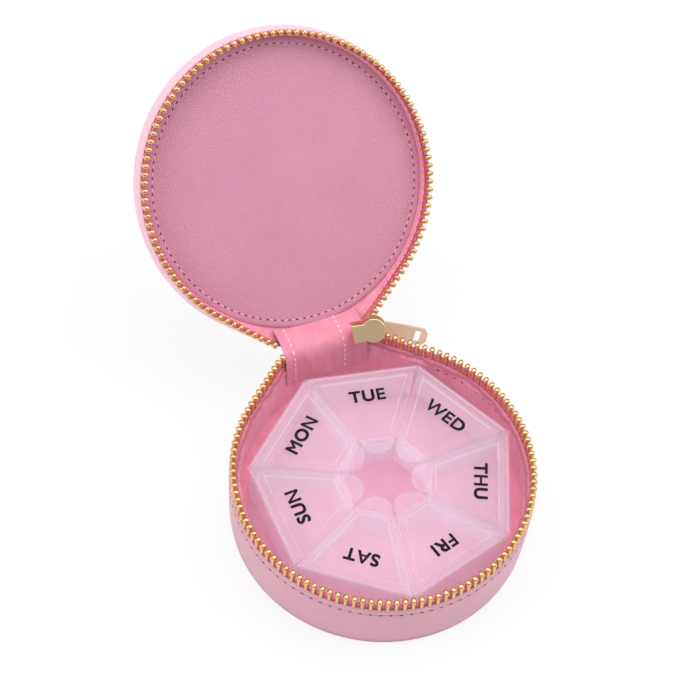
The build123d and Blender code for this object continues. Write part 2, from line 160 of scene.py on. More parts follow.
class Half:
    """One half of the case: which way it is deep, and the round foot it runs down to."""

    def __init__(self, body, side, straight, depth, foot_radius, turn, grow=0.0):
        self.body = body
        self.side = side
        self.straight = straight
        self.depth = depth
        self.foot_radius = foot_radius
        self.turn = turn
        self.grow = grow

    def stretch(self, y):
        """The lid is drawn a little longer towards the hinge than the base."""
        return y + self.grow * (y + ROW)

    def point(self, run, depth, inset):
        """Point of the wall at a depth below the rim, moved in by an inset."""
        spot, _, foot = rim_point(run % LOOP, inset)
        if depth > self.straight:
            share = (depth - self.straight) / (self.depth - self.straight)
            spot = spot.lerp(toward(foot) * (self.foot_radius - inset), share)
        return self.turn @ Vector((spot.x, self.stretch(spot.y), PARTING + self.side * depth))

    def disc_point(self, radius, turn, level):
        """Point above the foot at a radius and a turn."""
        height = PARTING + self.side * (self.depth - level)
        return self.turn @ Vector((radius * math.cos(turn), self.stretch(radius * math.sin(turn)), height))

    def row_place(self, run, depth, inset=0.0):
        """Place on the rim: X outwards, Z towards the other half, Y along the row."""
        spot, face, _ = rim_point(run % LOOP, inset)
        place = Matrix.Translation((spot.x, self.stretch(spot.y), PARTING + self.side * depth))
        place = place @ Matrix.Rotation(face, 4, "Z")
        if self.side > 0:
            place = place @ Matrix.Rotation(math.pi, 4, "X")
        return TO_METRES @ self.turn @ place @ Matrix.Scale(1 / MM, 4)


DOWN = -1
UP = 1
base = Half("base", DOWN, BASE_STRAIGHT, BASE_DEPTH, BASE_FOOT, Matrix.Identity(4))
lid = Half("case_lid", UP, LID_STRAIGHT, LID_DEPTH, LID_FOOT, LID_TURN, LID_GROW)
fold_low = Half("zip_fold", DOWN, BASE_STRAIGHT, BASE_DEPTH, BASE_FOOT, FOLD_TURN)
fold_high = Half("zip_fold", UP, LID_STRAIGHT, LID_DEPTH, LID_FOOT, FOLD_TURN)


# Materials


class Wire:
    """A socket of a finish, with arithmetic that adds Math nodes."""

    def __init__(self, finish, socket):
        self.finish = finish
        self.socket = socket

    def math(self, operation, left, right=0.0):
        return self.finish.node("ShaderNodeMath", {"operation": operation}, {0: left, 1: right})

    def __add__(self, other):
        return self.math("ADD", self, other)

    def __sub__(self, other):
        return self.math("SUBTRACT", self, other)

    def __mul__(self, other):
        return self.math("MULTIPLY", self, other)

    def __radd__(self, other):
        return self.math("ADD", other, self)

    def __rsub__(self, other):
        return self.math("SUBTRACT", other, self)

    def __rmul__(self, other):
        return self.math("MULTIPLY", other, self)

    def wave(self, pitch):
        """Rise and fall between -1 and 1, once in every pitch."""
        return self.math("SINE", self * (2 * math.pi / pitch))


class Finish:
    """A procedural material around one Principled shader."""

    def __init__(self, name, **constants):
        self.material = bpy.data.materials.new(name)
        self.material.use_nodes = True
        self.tree = self.material.node_tree
        self.shader = self.tree.nodes["Principled BSDF"]
        self.set(**constants)

    def plug(self, socket, value):
        if isinstance(value, Wire):
            self.tree.links.new(value.socket, socket)
        else:
            socket.default_value = value

    def node(self, kind, settings, inputs, output=0):
        """Any node: its settings first, then the values or links of its sockets."""
        made = self.tree.nodes.new(kind)
        for name, value in settings.items():
            setattr(made, name, value)
        for socket, value in inputs.items():
            self.plug(made.inputs[socket], value)
        return Wire(self, made.outputs[output])

    def color(self, share, first, second):
        """Colour between two colours."""
        return self.node("ShaderNodeMix", {"data_type": "RGBA"}, {0: share, 6: first, 7: second}, 2)

    def noise(self, where, scale, detail, stretch=(1.0, 1.0, 1.0)):
        spread = self.node("ShaderNodeMapping", {}, {"Vector": where, "Scale": stretch})
        return self.node("ShaderNodeTexNoise", {}, {"Vector": spread, "Scale": scale, "Detail": detail})

    def coordinates(self, kind):
        return self.node("ShaderNodeTexCoord", {}, {}, kind)

    def parts(self, where):
        """The three coordinates of a place or a direction."""
        split = self.tree.nodes.new("ShaderNodeSeparateXYZ")
        self.plug(split.inputs[0], where)
        return [Wire(self, part) for part in split.outputs]

    def set(self, **values):
        """Values or links for sockets of the shader."""
        for socket, value in values.items():
            self.plug(self.shader.inputs[socket.replace("_", " ")], value)

    def bump(self, height, distance, strength):
        sockets = {"Height": height, "Distance": distance, "Strength": strength}
        self.set(Normal=self.node("ShaderNodeBump", {}, sockets))


def srgb(red, green, blue):
    """Screen colour from 0 to 255 as a linear colour."""
    linear = []
    for value in (red, green, blue):
        part = value / 255
        linear.append(part / 12.92 if part <= 0.04045 else ((part + 0.055) / 1.055) ** 2.4)
    return (*linear, 1.0)


BLACK = (0, 0, 0, 1)
WHITE = (1, 1, 1, 1)
FLOOR_GREY = (0.9, 0.9, 0.9, 1)

# The crease of the base's lining, painted as a darker line of shade: its length along the lining's profile,
# its wander, its sharpness and the painted shade's colour
FOLD_LENGTH = 22.4
FOLD_WANDER = 0.03
FOLD_SHARP = 150.0
FOLD_PAINTED_SHADE = srgb(184, 80, 112)

# The twill's slant across the cloth, and the share of a shadow that frosted plastic lets light into
SLANT_ALONG = 0.854
SLANT_UP = 0.52
LIGHT_PASSED = 0.8


def leather_finish(name, light, dark):
    """Smooth faux leather: a fine pebbled grain with a soft sheen."""
    finish = Finish(name, Specular_IOR_Level=0.45, Sheen_Weight=0.15)
    where = finish.coordinates("Object")
    cloud = finish.noise(where, scale=60.0, detail=3.0)
    pebble = finish.node(
        "ShaderNodeTexVoronoi", {"feature": "DISTANCE_TO_EDGE"}, {"Vector": where, "Scale": 1500.0}
    )
    fine = finish.noise(where, scale=2600.0, detail=2.0)
    finish.set(Base_Color=finish.color(cloud, light, dark), Roughness=0.4 + 0.16 * fine)
    finish.bump(pebble * 0.7 + fine * 0.5, distance=0.00009, strength=0.5)
    return finish.material


def satin_finish(name, light, dark, fold=None):
    """Satin lining: fine threads, broad soft shading painted into its colour, and a sheen, and one crease
    painted as a darker line of shade if asked.
    """
    finish = Finish(name, Sheen_Weight=0.35, Sheen_Roughness=0.4, Specular_IOR_Level=0.35)
    where = finish.coordinates("UV")
    along, up, _ = finish.parts(where)
    thread = along.wave(pitch=0.0042) * 0.5 + up.wave(pitch=0.0036) * 0.5
    crease = finish.noise(where, scale=16.0, detail=3.0, stretch=(1.0, 0.45, 1.0))
    streak = finish.noise(where, scale=60.0, detail=2.0, stretch=(1.0, 0.2, 1.0))
    # The broad colour change is painted shading, following the wrinkle and streak noise
    color = finish.color(crease * 0.75 + streak * 0.35, light, dark)
    # A crease drawn as a darker line: painted shade along the fold
    if fold is not None:
        gap = (up + crease * FOLD_WANDER - (fold / UV_UNIT + FOLD_WANDER / 2)) * FOLD_SHARP
        line = gap * gap * -1.0
        color = finish.color(line.math("EXPONENT", line) * 0.75, color, FOLD_PAINTED_SHADE)
    finish.set(Base_Color=color, Roughness=0.42 + 0.2 * streak)
    finish.bump(thread * 0.12 + crease * 3.0 + streak * 0.9, distance=0.0004, strength=0.7)
    return finish.material


def twill_finish(name, light, dark):
    """Twill cloth: fine slanting ribs crossed by the weft, with uneven yarn."""
    finish = Finish(name, Sheen_Weight=0.3, Sheen_Roughness=0.5, Specular_IOR_Level=0.25)
    where = finish.coordinates("UV")
    along, up, _ = finish.parts(where)
    uneven = finish.noise(where, scale=150.0, detail=3.0)
    slant = along * SLANT_ALONG - up * SLANT_UP
    rib = (slant + uneven * 0.0012).wave(pitch=0.0064) * 0.5 + 0.5
    weft = (up * SLANT_ALONG + along * SLANT_UP).wave(pitch=0.0045) * 0.5 + 0.5
    cloud = finish.noise(where, scale=6.0, detail=3.0)
    shade = rib * 0.75 + weft * 0.14 + uneven * 0.3 + cloud * 0.2 - 0.2
    finish.set(Base_Color=finish.color(shade, light, dark), Roughness=0.72 + 0.15 * uneven)
    finish.bump(1.0 - rib * 0.75 - weft * 0.25, distance=0.00012, strength=0.7)
    return finish.material


def tape_finish(name, light, dark):
    """Zip tape: a close rib along the tape."""
    finish = Finish(name, Sheen_Weight=0.25, Specular_IOR_Level=0.25)
    where = finish.coordinates("UV")
    along, up, _ = finish.parts(where)
    rib = (up + along * 0.3).wave(pitch=0.006) * 0.5 + 0.5
    weft = along.wave(pitch=0.0075) * 0.5 + 0.5
    uneven = finish.noise(where, scale=80.0, detail=2.0)
    finish.set(
        Base_Color=finish.color(rib * 0.4 + uneven * 0.5, light, dark),
        Roughness=0.68 + 0.15 * uneven,
    )
    finish.bump(rib * 0.6 + weft * 0.4, distance=0.00015, strength=0.6)
    return finish.material


def metal_finish(name, bright, deep, gloss, wear):
    """Plated metal with faint tarnish and fine scratches."""
    finish = Finish(name, Metallic=1.0)
    where = finish.coordinates("Object")
    tarnish = finish.noise(where, scale=380.0, detail=3.0)
    scratch = finish.noise(where, scale=900.0, detail=2.0, stretch=(1.0, 6.0, 1.0))
    finish.set(
        Base_Color=finish.color(tarnish * wear, bright, deep),
        Roughness=gloss + 0.14 * scratch * tarnish,
    )
    finish.bump(scratch, distance=0.00002, strength=0.25)
    return finish.material


def frosted_finish(name, pale, deep, clear, edge, rough, glow):
    """Frosted moulded plastic: clear on flat panes, milky on walls, which glow faintly with painted light in
    place of the light they scatter.
    """
    finish = Finish(name, Specular_IOR_Level=0.6, IOR=1.49, Emission_Strength=glow)
    where = finish.coordinates("Object")
    bloom = finish.noise(where, scale=70.0, detail=3.0)
    frost = finish.noise(where, scale=1900.0, detail=2.0)
    _, _, flat = finish.parts(finish.coordinates("Normal"))
    steep = 1.0 - flat * flat
    shadow = finish.node("ShaderNodeLightPath", {}, {}, "Is Shadow Ray")
    sight = clear + edge * steep + 0.04 * bloom
    finish.set(
        Base_Color=finish.color(bloom, pale, deep),
        Roughness=rough + 0.14 * frost,
        Alpha=sight * (1.0 - LIGHT_PASSED * shadow),
        # Emission on the walls is painted light, a stand-in for light scattered through the plastic
        Emission_Color=finish.color(steep, BLACK, pale),
    )
    finish.bump(frost + bloom * 0.6, distance=0.00004, strength=0.4)
    return finish.material


def plain_finish(name, light, dark, scale, rough, depth):
    """Matte stock with a mottled colour, such as card, foam, thread or ink."""
    finish = Finish(name, Specular_IOR_Level=0.3)
    where = finish.coordinates("Object")
    mottle = finish.noise(where, scale, detail=3.0)
    finish.set(Base_Color=finish.color(mottle, light, dark), Roughness=rough + 0.15 * mottle)
    finish.bump(mottle, depth, strength=0.5)
    return finish.material


def floor_finish(name, white):
    """Pale floor that is seen as white and keeps the shadow."""
    finish = Finish(name)
    matte = finish.node("ShaderNodeBsdfDiffuse", {}, {"Color": FLOOR_GREY})
    glow = finish.node("ShaderNodeEmission", {}, {"Color": WHITE})
    seen, mirrored, through = (
        finish.node("ShaderNodeLightPath", {}, {}, ray)
        for ray in ("Is Camera Ray", "Is Glossy Ray", "Is Transmission Ray")
    )
    any_sight = finish.node(
        "ShaderNodeMath", {"operation": "ADD", "use_clamp": True}, {0: seen + mirrored, 1: through}
    )
    blend = finish.node("ShaderNodeMixShader", {}, {0: any_sight * white, 1: matte, 2: glow})
    finish.plug(finish.tree.nodes["Material Output"].inputs["Surface"], blend)
    finish.tree.nodes.remove(finish.shader)
    return finish.material


SATIN_PAIR = (srgb(250, 178, 202), srgb(234, 128, 160))
# The base and the lid share one pink leather: the base's copy is painted darker as painted shade, and the
# lid's paler as painted light, for how each faces the lamps
shaded_base_leather = leather_finish("pink_leather_base_painted_shade", srgb(226, 168, 186), srgb(214, 152, 172))
lit_lid_leather = leather_finish("pink_leather_lid_painted_light", srgb(250, 203, 222), srgb(244, 190, 212))
satin = satin_finish("pink_satin", *SATIN_PAIR)
crease_shaded_satin = satin_finish("pink_satin_painted_crease_shade", *SATIN_PAIR, FOLD_LENGTH)
# The hinge's satin strip is a darker copy of the lining's satin: painted shade for the strip deep in the
# hinge
shaded_strip_satin = satin_finish("pink_strip_satin_painted_shade", srgb(240, 164, 186), srgb(224, 124, 150))
floor_satin = satin_finish("pink_floor_cloth", srgb(220, 164, 186), srgb(212, 150, 173))
twill = twill_finish("mauve_twill", srgb(228, 168, 190), srgb(184, 110, 140))
tape_cloth = tape_finish("pink_zip_tape", srgb(246, 144, 168), srgb(220, 92, 124))
gold = metal_finish("polished_gold", srgb(248, 212, 154), srgb(196, 136, 80), gloss=0.24, wear=0.8)
champagne = metal_finish("satin_champagne", srgb(238, 212, 172), srgb(212, 182, 140), gloss=0.38, wear=0.6)
pale_gold = metal_finish("pale_gold", srgb(255, 244, 218), srgb(248, 220, 180), gloss=0.42, wear=0.6)
frosted_tray = frosted_finish(
    "frosted_tray", srgb(246, 238, 248), srgb(238, 228, 241), clear=0.04, edge=0.3, rough=0.34, glow=0.05
)
frosted_lid = frosted_finish(
    "frosted_lid", srgb(246, 240, 250), srgb(240, 231, 244), clear=0.06, edge=0.5, rough=0.26, glow=0.04
)
thread_pink = plain_finish(
    "pale_thread", srgb(250, 196, 218), srgb(232, 160, 190), scale=900.0, rough=0.6, depth=0.00005
)
thread_pale = plain_finish(
    "seam_thread", srgb(255, 222, 234), srgb(250, 200, 218), scale=900.0, rough=0.6, depth=0.00005
)
# Needle holes are dark beads: painted shade inside the holes
needle_hole_shade = plain_finish(
    "needle_hole_painted_shade", srgb(120, 58, 84), srgb(84, 36, 56), scale=500.0, rough=0.8, depth=0.00005
)
card = plain_finish(
    "grey_card", srgb(176, 164, 148), srgb(150, 138, 122), scale=300.0, rough=0.8, depth=0.00008
)
foam = plain_finish(
    "soft_foam", srgb(236, 230, 220), srgb(218, 210, 198), scale=600.0, rough=0.85, depth=0.0001
)
ink = plain_finish("black_print", srgb(12, 9, 10), srgb(4, 3, 4), scale=700.0, rough=0.7, depth=0.00002)


# Modelling helpers


def deselect():
    if bpy.context.mode != "OBJECT":
        bpy.ops.object.mode_set(mode="OBJECT")
    bpy.ops.object.select_all(action="DESELECT")


def pick(piece):
    """Make one object the only selected one."""
    deselect()
    piece.select_set(True)
    bpy.context.view_layer.objects.active = piece


def weld_and_turn_out(piece):
    """Merge seams and poles, and point the faces outwards."""
    pick(piece)
    bpy.ops.object.mode_set(mode="EDIT")
    bpy.ops.mesh.select_all(action="SELECT")
    bpy.ops.mesh.remove_doubles(threshold=WELD)
    bpy.ops.mesh.normals_make_consistent(inside=False)
    bpy.ops.object.mode_set(mode="OBJECT")


def soften(piece, degrees=50):
    """Smooth shading across edges flatter than an angle."""
    pick(piece)
    bpy.ops.object.shade_smooth_by_angle(angle=math.radians(degrees))


def apply_modifier(piece, kind, **settings):
    pick(piece)
    modifier = piece.modifiers.new(kind.lower(), kind)
    for name, value in settings.items():
        setattr(modifier, name, value)
    bpy.ops.object.modifier_apply(modifier=modifier.name)


def move_vertices(piece, change):
    for vertex in piece.data.vertices:
        vertex.co = change(vertex.co)


def grid_piece(name, columns, rows, place, cloth):
    """A grid laid out by a place for each column and row, with its cloth measured on its own map."""
    deselect()
    bpy.ops.mesh.primitive_grid_add(x_subdivisions=columns, y_subdivisions=rows, size=1, calc_uvs=True)
    piece = bpy.context.object
    piece.name = name
    spots = []
    for vertex in piece.data.vertices:
        spot = (round((vertex.co.x + 0.5) * columns), round((vertex.co.y + 0.5) * rows))
        spots.append(spot)
        vertex.co = place(*spot) * MM
    layer = piece.data.uv_layers.active.data
    for loop in piece.data.loops:
        layer[loop.index].uv = [length / UV_UNIT for length in cloth(*spots[loop.vertex_index])]
    return piece


def closed_piece(name, columns, rows, place, cloth):
    """A grid whose edges meet, welded into a closed shell."""
    piece = grid_piece(name, columns, rows, place, cloth)
    weld_and_turn_out(piece)
    soften(piece)
    return piece


def running_lengths(points):
    """Length along a line up to each of its points."""
    lengths = [0.0]
    for here, there in zip(points, points[1:]):
        lengths.append(lengths[-1] + (there - here).length)
    return lengths


def wall_piece(name, half, profile, columns, shape):
    """A wall around a half, with a closed profile of depths and insets, shaped by its run."""
    lengths = running_lengths([Vector(point) for point in profile])

    def place(column, row):
        run = LOOP * column / columns
        return half.point(run, *shape(run, *profile[row]))

    def cloth(column, row):
        return LOOP * column / columns, lengths[row]

    return closed_piece(name, columns, len(profile) - 1, place, cloth)


def disc_piece(name, half, profile, columns=160, shape=None):
    """A round panel from a list of (radius, level) points, closed from pole to pole."""

    def place(column, row):
        turn = 2 * math.pi * column / columns
        radius, level = profile[row]
        if shape is not None:
            level = shape(radius, turn, level)
        return half.disc_point(radius, turn, level)

    def cloth(column, row):
        turn = 2 * math.pi * column / columns
        radius, _ = profile[row]
        return UV_UNIT + radius * math.cos(turn), UV_UNIT + radius * math.sin(turn)

    return closed_piece(name, columns, len(profile) - 1, place, cloth)


def paint(piece, finish):
    piece.data.materials.clear()
    piece.data.materials.append(finish)


def dress(piece, finish, body, slot, *replaced):
    """Give a piece its finish, its body and the CAD nodes that it stands for, which are hidden; the slot is
    not used.
    """
    paint(piece, finish)
    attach(piece, body)
    if replaced:
        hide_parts(*replaced)


def scatter(name, pattern, places):
    """Copies of a small pattern at many places, joined into one piece."""
    copies = []
    for place in places:
        twin = pattern.copy()
        twin.data = pattern.data.copy()
        twin.data.transform(place)
        scene.collection.objects.link(twin)
        copies.append(twin)
    bpy.data.objects.remove(pattern)
    pick(copies[0])
    for twin in copies:
        twin.select_set(True)
    bpy.ops.object.join()
    copies[0].name = name
    return copies[0]


# Leather walls and panels

# Top edges of the leather, its two faces there, and how far an edge dips beside the hinge
BASE_EDGE = 4.7
LID_EDGE = 4.3
LEATHER_OUT = -1.1
LEATHER_IN = -0.36
BASE_DIP = 1.15
LID_DIP = 1.45
EDGE_STEPS = 5
# Points further out than this lie on the outer face
OUTER_FACE = -0.5
# Distances before the zip's end between which the edges dip, and how deep the dip still pulls
DIP_START = 17
DIP_END = 8
BASE_DIP_LOW = 12.0
LID_DIP_LOW = 9.0
WALL_COLUMNS = 240


def roll_edge(top):
    """Half-round edge over the top of a wall, from its outer to its inner face."""
    middle = (LEATHER_OUT + LEATHER_IN) / 2
    radius = (LEATHER_IN - LEATHER_OUT) / 2
    edge = []
    for step in range(EDGE_STEPS + 1):
        turn = math.pi * step / EDGE_STEPS
        edge.append((top + radius - radius * math.sin(turn), middle - radius * math.cos(turn)))
    return edge


def near_hinge(run):
    """1 beside the zip's ends and the hinge, 0 along the rest of the rim."""
    return smooth(ROW_HALF - DIP_START, ROW_HALF - DIP_END, min(run, LOOP - run))


base_wall_profile = [
    (25.9, -0.35), (26.1, -0.7), (25.7, -0.98), (25.2, -1.0), (24.9, -0.82), (24.6, -1.02), (24.0, -1.1),
    (22.0, -1.16), (19.0, -1.2), (16.0, -1.22), (13.0, -1.2), (10.5, -1.16), (9.0, -1.12), (8.2, -1.06),
    (7.7, -0.98), (7.2, -1.06), (6.4, -1.14), (5.6, -1.16),
    *roll_edge(BASE_EDGE),
    (7.0, LEATHER_IN), (15.0, LEATHER_IN), (25.9, -0.35),
]


def base_wall_shape(run, depth, inset):
    """The top edge dips beside the zip's ends, and the leather is softly uneven."""
    dip = BASE_DIP * near_hinge(run) * smooth(BASE_DIP_LOW, BASE_EDGE, depth)
    soft = 0.0
    if inset < OUTER_FACE:
        soft = 0.07 * ripple(run * 0.11, depth * 0.12, 3.1) + 0.035 * ripple(run * 0.4, depth * 0.3, 8.2)
    return depth + dip, inset + soft


base_band = wall_piece("base_leather_wall", base, base_wall_profile, WALL_COLUMNS, base_wall_shape)
dress(base_band, shaded_base_leather, "base", "leather", "base_side_wall")

sole_profile = [
    (0, 0.0), (20, 0.0), (40, 0.0), (44.5, 0.0), (45.6, 0.06), (46.2, 0.2), (46.55, 0.45), (46.6, 0.7),
    (46.3, 0.84), (40, 0.84), (20, 0.84), (0, 0.84),
]
base_sole = disc_piece("base_leather_sole", base, sole_profile)
dress(base_sole, shaded_base_leather, "base", "leather", "base_outer_panel")

lid_wall_profile = [
    (10.7, LEATHER_IN), (11.0, -0.9), (10.95, -1.3), (10.6, -1.56), (10.0, -1.76), (9.2, -1.88),
    (8.4, -1.9), (7.6, -1.84), (6.8, -1.7), (6.0, -1.5), (5.3, -1.28),
    *roll_edge(LID_EDGE),
    (6.0, LEATHER_IN), (8.5, LEATHER_IN), (10.7, LEATHER_IN),
]


def lid_wall_shape(run, depth, inset):
    """The lid's edge dips beside the zip's ends too."""
    dip = LID_DIP * near_hinge(run) * smooth(LID_DIP_LOW, LID_EDGE, depth)
    soft = 0.05 * ripple(run * 0.13, depth * 0.2, 5.7) if inset < OUTER_FACE else 0.0
    return depth + dip, inset + soft


lid_band = wall_piece("lid_leather_wall", lid, lid_wall_profile, WALL_COLUMNS, lid_wall_shape)
dress(lid_band, lit_lid_leather, "case_lid", "leather", "lid_side_wall")

top_profile = [
    (0, -0.55), (12, -0.53), (24, -0.44), (34, -0.28), (40, -0.12), (43.5, 0.0), (45.4, 0.1), (46.4, 0.3),
    (46.9, 0.55), (46.95, 0.75), (46.6, 0.86), (40, 0.86), (20, 0.86), (0, 0.86),
]


def top_shape(radius, turn, level):
    """The crowned middle of the lid is softly uneven."""
    if level < 0.0:
        return level + 0.05 * ripple(radius * math.cos(turn) * 0.06, radius * math.sin(turn) * 0.06, 2.0)
    return level


lid_top = disc_piece("lid_leather_top", lid, top_profile, shape=top_shape)
dress(lid_top, lit_lid_leather, "case_lid", "leather", "lid_outer_panel")


# Linings

# Inset of the base's lining, the depths of its rows there, and the insets between which cloth is loose
LINING_FACE = 1.0
LINING_ROWS = (15.0, 13.2, 11.8, 10.6, 9.8, 9.2, 8.7, 8.2, 7.7, 7.2, 6.7)
LOOSE_LOW = 0.6
LOOSE_HIGH = 1.4
# Depths of the roll under the sewn edge and of the crease below it
ROLL_DEPTH = 7.4
CREASE_DEPTH = 9.0
LINING_COLUMNS = 260

base_lining_profile = [
    (22.5, 0.4), (22.6, 4.2), (22.3, 4.2), (22.0, 1.6), (21.2, 1.05), (19.0, 1.02), (17.0, 1.02),
    *((depth, LINING_FACE) for depth in LINING_ROWS),
    (6.2, 0.98), (5.75, 0.9), (5.5, 0.7), (5.65, 0.45), (6.4, 0.37), (14.0, 0.37), (22.5, 0.4),
]


def base_lining_shape(run, depth, inset):
    """Loose cloth: upright wrinkles, and a soft roll with a crease under the sewn edge."""
    if not LOOSE_LOW <= inset <= LOOSE_HIGH:
        return depth, inset
    loose = smooth(22.0, 17.0, depth) * smooth(5.4, 8.0, depth)
    broad = 0.9 * max(0, ripple(run * 0.16, depth * 0.06, 1.3))
    wrinkle = broad + 0.35 * ripple(run * 0.42, depth * 0.12, 4.4)
    wander = 0.9 * ripple(run * 0.06, 0.0, 9.0)
    full = 0.6 + 0.4 * ripple(run * 0.12, 3.0, 0.4)
    roll = 1.15 * full * bell(depth - ROLL_DEPTH, wander, 0.85)
    crease = -0.45 * bell(depth - CREASE_DEPTH, wander, 0.4)
    return depth, inset + loose * (wrinkle + 0.3) + roll + crease


base_lining = wall_piece("base_satin_lining", base, base_lining_profile, LINING_COLUMNS, base_lining_shape)
dress(base_lining, crease_shaded_satin, "base", "lining_satin", "base_wall_lining")

lid_lining_profile = [
    (7.55, 0.5), (7.6, 3.6), (7.35, 3.6), (7.2, 2.4), (6.95, 1.5), (6.55, 1.12), (6.1, 1.06), (5.6, 1.05),
    (5.1, 1.02), (4.7, 0.98), (4.45, 0.9), (4.32, 0.7), (4.5, 0.45), (5.2, 0.37), (6.9, 0.37), (7.55, 0.5),
]


def lid_lining_shape(run, depth, inset):
    """The lid's lining dips with its leather, and bulges a little."""
    dip = near_hinge(run) * smooth(6.7, 4.4, depth)
    if not LOOSE_LOW <= inset <= LOOSE_HIGH:
        return depth + dip, inset
    bulge = smooth(6.8, 5.8, depth) * smooth(4.3, 5.0, depth)
    broad = 0.35 * max(0, ripple(run * 0.2, depth * 0.2, 6.3))
    wrinkle = broad + 0.15 * ripple(run * 0.5, depth * 0.3, 2.4)
    return depth + dip, inset + bulge * (wrinkle + 0.1)


lid_lining = wall_piece("lid_satin_lining", lid, lid_lining_profile, LINING_COLUMNS, lid_lining_shape)
dress(lid_lining, satin, "case_lid", "lining_satin", "lid_wall_lining")


# Padded panels inside the lid and the base

# Radius and number of the lid panel's stitches, and the level of its side, which is plain
SEW_RADIUS = 42.6
SEW_COUNT = 110
PAD_SIDE = 4.3
PAD_COLUMNS = 3 * SEW_COUNT

pad_profile = [
    (0, 4.95), (10, 4.95), (20, 4.94), (28, 4.92), (34, 4.9), (38, 4.87), (40.5, 4.83), (41.8, 4.78),
    (SEW_RADIUS, 4.7), (43.3, 4.8), (44.0, 4.8), (44.6, 4.68), (44.9, 4.4), (44.95, 4.1), (44.6, 3.78),
    (40, 3.76), (20, 3.76), (0, 3.76),
]


def pad_shape(radius, turn, level):
    """Crowned cloth that puckers beside its seam."""
    if level < PAD_SIDE:
        return level
    pucker = bell(radius, SEW_RADIUS, 1.3) * 0.05 * math.cos(turn * SEW_COUNT)
    soft = 0.05 * ripple(radius * math.cos(turn) * 0.05, radius * math.sin(turn) * 0.05, 7.0)
    return level + pucker + soft


lid_pad = disc_piece("lid_twill_pad", lid, pad_profile, PAD_COLUMNS, pad_shape)
dress(lid_pad, twill, "case_lid", "lining_twill", "lid_inner_panel")

floor_profile = [
    (0, 4.6), (14, 4.6), (26, 4.6), (36, 4.6), (41, 4.58), (43, 4.5), (44.2, 4.3), (44.6, 4.0), (44.4, 3.78),
    (40, 3.76), (20, 3.76), (0, 3.76),
]
base_pad = disc_piece("base_floor_pad", base, floor_profile)
dress(base_pad, floor_satin, "base", "lining_twill", "base_inner_panel")


# Zip tapes

# Top edge, half thickness and low edges of the tapes, and how far and where they drop at the hinge
TAPE_TOP = 2.95
TAPE_HALF = 0.3
BASE_TAPE_LOW = 11.3
LID_TAPE_LOW = 6.7
TAPE_DROP = 2.1
DROP_LOW = 6.5
DROP_TOP = 2.9
TAPE_COLUMNS = 220


def tape_profile(low):
    """Flat tape: up one face, over a rounded top edge and down the other face."""
    face = [
        (low, TAPE_HALF), (mix(low, TAPE_TOP, 0.5), TAPE_HALF), (TAPE_TOP + 1.4, TAPE_HALF),
        (TAPE_TOP + 0.1, 0.28), (TAPE_TOP, 0.1),
    ]
    return [*((depth, -inset) for depth, inset in face), *reversed(face), (low, -TAPE_HALF)]


def tape_shape(right_start, right_end, left_start, left_end):
    """Shape of a tape whose top edge is lower between two fades, one at each end of the zip."""

    def shape(run, depth, inset):
        ends = smooth(right_start, right_end, run) * smooth(left_start, left_end, run)
        return depth + TAPE_DROP * ends * smooth(DROP_LOW, DROP_TOP, depth), inset

    return shape


# The base's tape is lower under the slider and along the hinge, the lid's along the hinge alone
base_drop = tape_shape(ROW_HALF - 11.0, ROW_HALF - 7.5, LEFT_END + 1.0, LEFT_END - 3.0)
lid_drop = tape_shape(ROW_HALF - 5.5, ROW_HALF - 2.5, LEFT_END - 1.0, LEFT_END - 5.0)
base_tape = wall_piece("base_zip_tape_cloth", base, tape_profile(BASE_TAPE_LOW), TAPE_COLUMNS, base_drop)
dress(base_tape, tape_cloth, "base", "zip_tape", "base_zip_tape")
lid_tape = wall_piece("lid_zip_tape_cloth", lid, tape_profile(LID_TAPE_LOW), TAPE_COLUMNS, lid_drop)
dress(lid_tape, tape_cloth, "case_lid", "zip_tape", "lid_zip_tape")


# Zip teeth: a rounded head on a waisted leg

TOOTH_SPACING = 2.5
TOOTH_ACROSS = 2.3
TOOTH_ALONG = 1.84
# Rings of a tooth from its tip down: height, and share of its size along the row
TOOTH_RINGS = ((0.0, 0.5), (-0.3, 0.9), (-0.95, 1.0), (-1.75, 0.9), (-2.4, 0.86), (-4.4, 0.9))
# Share of that narrowing that is left out across the row
ACROSS_SHARE = 0.35
# Depth of the tips, shift of each row in shares of the spacing, and where the rows end
TIP_DEPTH = 0.4
BASE_PHASE = 0.5
LID_PHASE = 0.0
LEFT_LIMIT = ROW_HALF - 4.6
BASE_RIGHT_LIMIT = 127.0
LID_RIGHT_LIMIT = 131.0


def zip_tooth():
    """One tooth, tip up at the origin: X across the row, Y along it."""
    deselect()
    bpy.ops.mesh.primitive_cylinder_add(vertices=8, radius=0.5, depth=1.0)
    tooth = bpy.context.object
    bpy.ops.object.mode_set(mode="EDIT")
    bpy.ops.mesh.select_mode(type="EDGE")
    bpy.ops.mesh.select_all(action="DESELECT")
    bpy.ops.object.mode_set(mode="OBJECT")
    for edge in tooth.data.edges:
        ends = [tooth.data.vertices[index].co for index in edge.vertices]
        edge.select = abs(ends[0].z - ends[1].z) > 0.5
    bpy.ops.object.mode_set(mode="EDIT")
    bpy.ops.mesh.subdivide(number_cuts=len(TOOTH_RINGS) - 2)
    bpy.ops.object.mode_set(mode="OBJECT")

    def shape(co):
        height, width = TOOTH_RINGS[round((0.5 - co.z) * (len(TOOTH_RINGS) - 1))]
        across = co.x * TOOTH_ACROSS * mix(width, 1.0, ACROSS_SHARE)
        return Vector((across, co.y * TOOTH_ALONG * width, height)) * MM

    move_vertices(tooth, shape)
    soften(tooth, degrees=75)
    return tooth


def row_runs(phase, left, right):
    """Runs of the teeth between two distances from the front middle."""
    first = math.ceil(left / TOOTH_SPACING - phase)
    last = math.floor(right / TOOTH_SPACING - phase)
    return [(count + phase) * TOOTH_SPACING for count in range(first, last + 1)]


